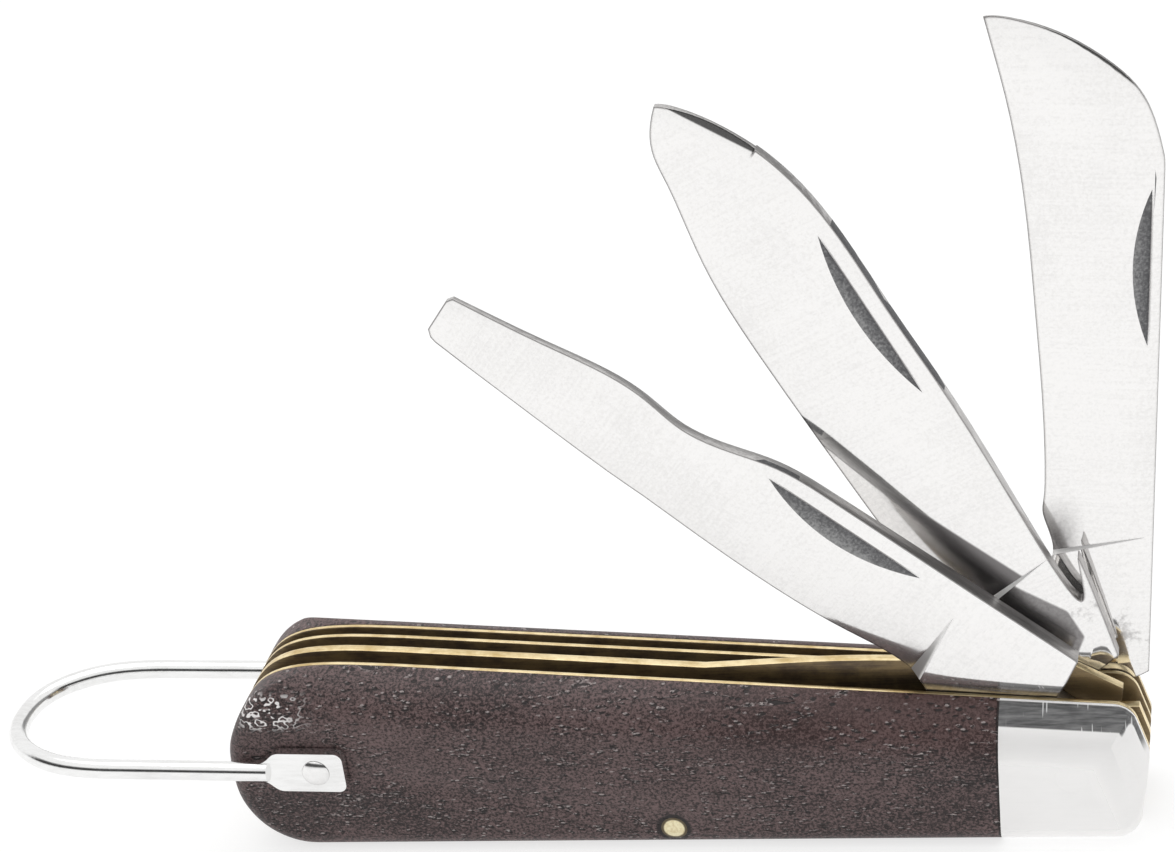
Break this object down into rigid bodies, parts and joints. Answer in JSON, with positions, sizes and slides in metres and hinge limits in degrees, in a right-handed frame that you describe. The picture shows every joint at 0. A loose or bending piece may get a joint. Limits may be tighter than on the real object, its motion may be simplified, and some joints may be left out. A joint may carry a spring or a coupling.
{
  "type": "folding pocket knife",
  "caption": "Folding pocket knife whose flat-tip, spear and hooked blades hinge on a shared pin in a bolstered handle with a swinging wire bail.",
  "frame": {"origin": "on the back of the handle, straight below the blades' pivot, halfway through the thickness", "axes": "+X along the handle from the butt and bail to the bolster end; +Y through the thickness, from the cover beside the screwdriver blade to the cover beside the pruning blade; +Z from the back to the edge the blades open from"},
  "size_m": [0.1271, 0.0218, 0.0833],
  "materials": {
    "cover": "moulded, bark-textured, semi-gloss",
    "bolster": "polished nickel silver",
    "liner": "satin",
    "lock_liner": "satin, edges polished",
    "backspring": "satin",
    "blade": "fine polish",
    "bolster_pin": "dressed flush and polished",
    "spring_pin": "dressed flush, pale gold",
    "bail_rivet": "domed, polished",
    "bail": "bright steel wire"
  },
  "bodies": {
    "handle": {"front_cover": "cover", "rear_cover": "cover", "front_bolster": "bolster", "rear_bolster": "bolster", "front_liner": "liner", "lock_liner": "lock_liner", "middle_liner": "liner", "rear_liner": "liner", "front_backspring": "backspring", "middle_backspring": "backspring", "rear_backspring": "backspring", "pivot_pin": "bolster_pin", "spring_pin": "spring_pin", "bail_pin": "bail_rivet"},
    "screwdriver_blade": {"screwdriver_blade": "blade"},
    "spear_blade": {"spear_blade": "blade"},
    "pruning_blade": {"pruning_blade": "blade"},
    "bail": {"bail": "bail"}
  },
  "joints": [
    {"name": "screwdriver_hinge", "type": "hinge", "parent": "handle", "child": "screwdriver_blade", "pos_m": [0, 0, 0.0082], "axis": [0, 1, 0], "range_deg": [-34.4, 139.1]},
    {"name": "spear_hinge", "type": "hinge", "parent": "handle", "child": "spear_blade", "pos_m": [0, 0, 0.0082], "axis": [0, 1, 0], "range_deg": [-58.1, 115.4]},
    {"name": "pruning_hinge", "type": "hinge", "parent": "handle", "child": "pruning_blade", "pos_m": [0, 0, 0.0082], "axis": [0, 1, 0], "range_deg": [-88.5, 85]},
    {"name": "bail_hinge", "type": "hinge", "parent": "handle", "child": "bail", "pos_m": [-0.0774, 0, 0.01105], "axis": [0, 1, 0], "range_deg": [-145, 150]}
  ]
}
